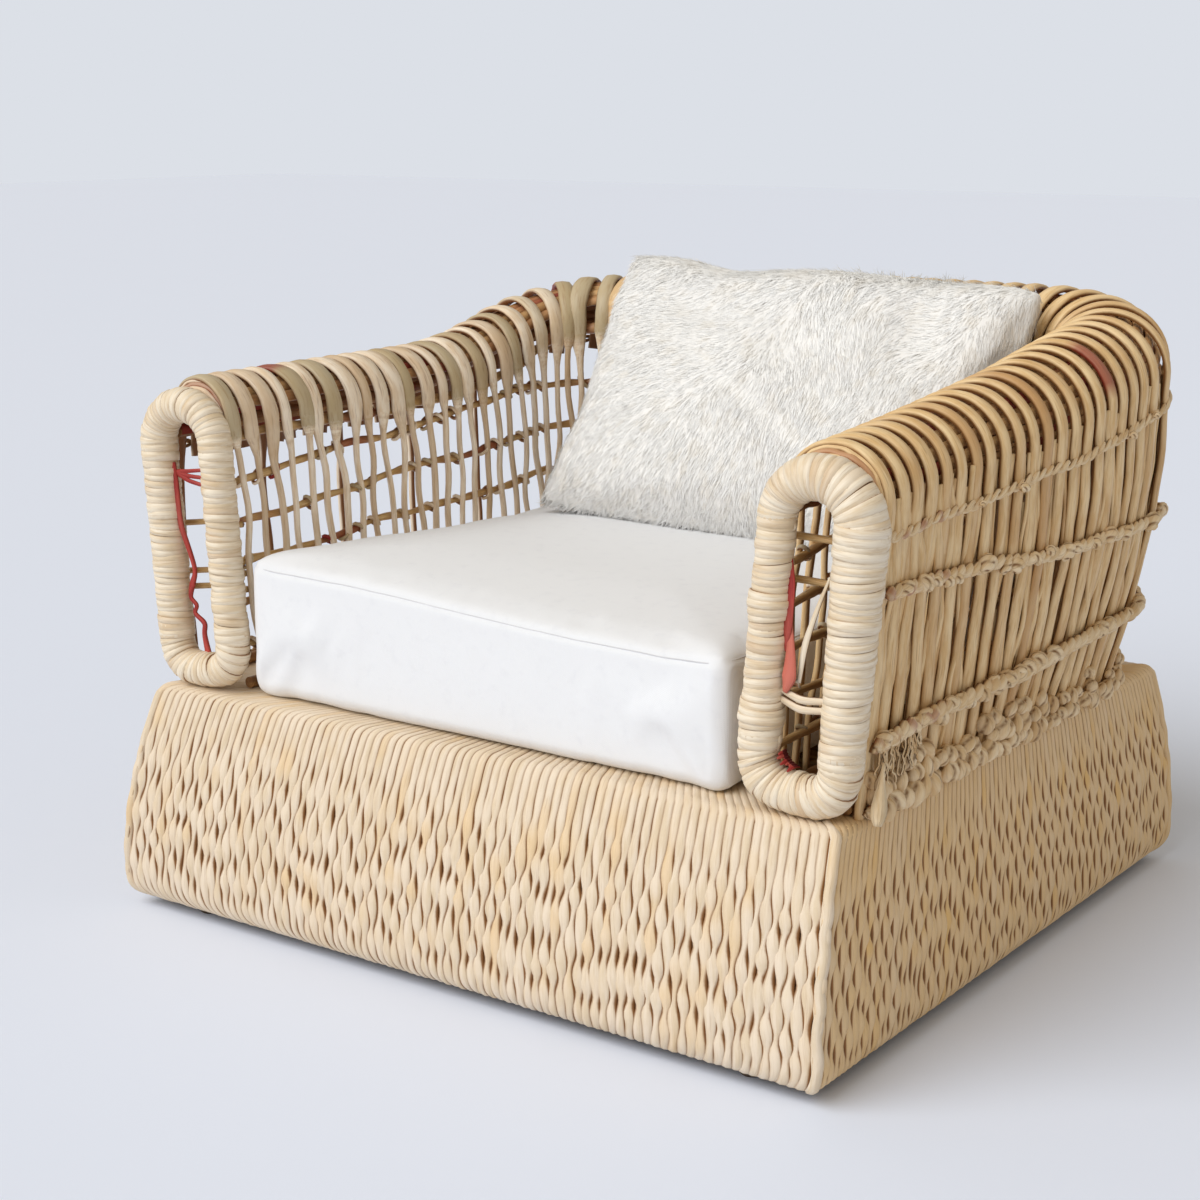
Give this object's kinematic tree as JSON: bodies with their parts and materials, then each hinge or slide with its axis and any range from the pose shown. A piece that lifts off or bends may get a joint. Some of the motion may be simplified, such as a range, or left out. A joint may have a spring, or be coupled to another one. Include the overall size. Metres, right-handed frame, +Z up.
{
  "type": "rattan lounge chair",
  "caption": "Wide low rattan armchair with a flared rush-woven base, a bent-cane tub, open at the left and closed at the right, with bound loop arm fronts, a loose box seat cushion and a loose fur back pillow.",
  "frame": {"origin": "on the floor, under the middle of the chair's bounding box", "axes": "+Z up, the open front of the seat faces -Y, +X to the right seen from the front"},
  "size_m": [1.0439, 0.94, 0.7653],
  "materials": {
    "rush_weave": "matte",
    "pale_cane_binding": "satin",
    "bent_cane": "satin",
    "rush_twine": "matte",
    "brown_rattan": "satin",
    "rattan_pole": "satin",
    "deck_wood": "matte",
    "glide_plastic": "matte",
    "zinc_screw": "satin",
    "white_cotton": "matte",
    "foam": "matte",
    "white_zip": "matte",
    "ivory_fur": "matte",
    "fibre_filling": "matte"
  },
  "bodies": {
    "frame": {"back_outer_stakes": "bent_cane", "back_ribs": "bent_cane", "base_stiles": "rattan_pole", "crest_rail": "brown_rattan", "deck_bearer": "deck_wood", "deck_screws": "zinc_screw", "deck_slats": "deck_wood", "floor_glides": "glide_plastic", "front_bottom_rail": "rattan_pole", "front_left_post": "rattan_pole", "front_right_post": "rattan_pole", "front_skirt": "rush_weave", "front_top_rail": "rattan_pole", "inner_foot_rail": "brown_rattan", "inner_top_rail": "brown_rattan", "lattice_rod_1": "brown_rattan", "lattice_rod_2": "brown_rattan", "lattice_rod_3": "brown_rattan", "lattice_rod_4": "brown_rattan", "lattice_rod_5": "brown_rattan", "left_arm_ribs": "bent_cane", "left_bottom_rail": "rattan_pole", "left_corner_ribs": "bent_cane", "left_crown_binding": "pale_cane_binding", "left_foot_binding": "pale_cane_binding", "left_inner_leg_binding": "pale_cane_binding", "left_loop_pole": "rattan_pole", "left_outer_leg_binding": "pale_cane_binding", "left_skirt": "rush_weave", "left_top_rail": "rattan_pole", "lower_twine": "rush_twine", "outer_foot_rail": "brown_rattan", "outer_top_rail": "brown_rattan", "rear_bottom_rail": "rattan_pole", "rear_left_post": "rattan_pole", "rear_right_post": "rattan_pole", "rear_skirt": "rush_weave", "rear_top_rail": "rattan_pole", "right_arm_outer_stakes": "bent_cane", "right_arm_ribs": "bent_cane", "right_bottom_rail": "rattan_pole", "right_corner_ribs": "bent_cane", "right_crown_binding": "pale_cane_binding", "right_foot_binding": "pale_cane_binding", "right_inner_leg_binding": "pale_cane_binding", "right_loop_pole": "rattan_pole", "right_outer_leg_binding": "pale_cane_binding", "right_skirt": "rush_weave", "right_top_rail": "rattan_pole", "roll_canes": "brown_rattan", "shoulder_twine": "rush_twine", "upper_twine": "rush_twine", "waist_twine": "rush_twine"},
    "seat_cushion": {"seat_cushion_cover": "white_cotton", "seat_cushion_foam": "foam", "seat_cushion_zip": "white_zip"},
    "back_pillow": {"pillow_cover": "ivory_fur", "pillow_filling": "fibre_filling"}
  },
  "joints": [
    {"name": "seat_cushion_lift", "type": "slide", "parent": "frame", "child": "seat_cushion", "axis": [0, 0, 1], "range_m": [0, 0.25]},
    {"name": "pillow_lift", "type": "slide", "parent": "seat_cushion", "child": "back_pillow", "axis": [0, 0, 1], "range_m": [0, 0.3]}
  ]
}
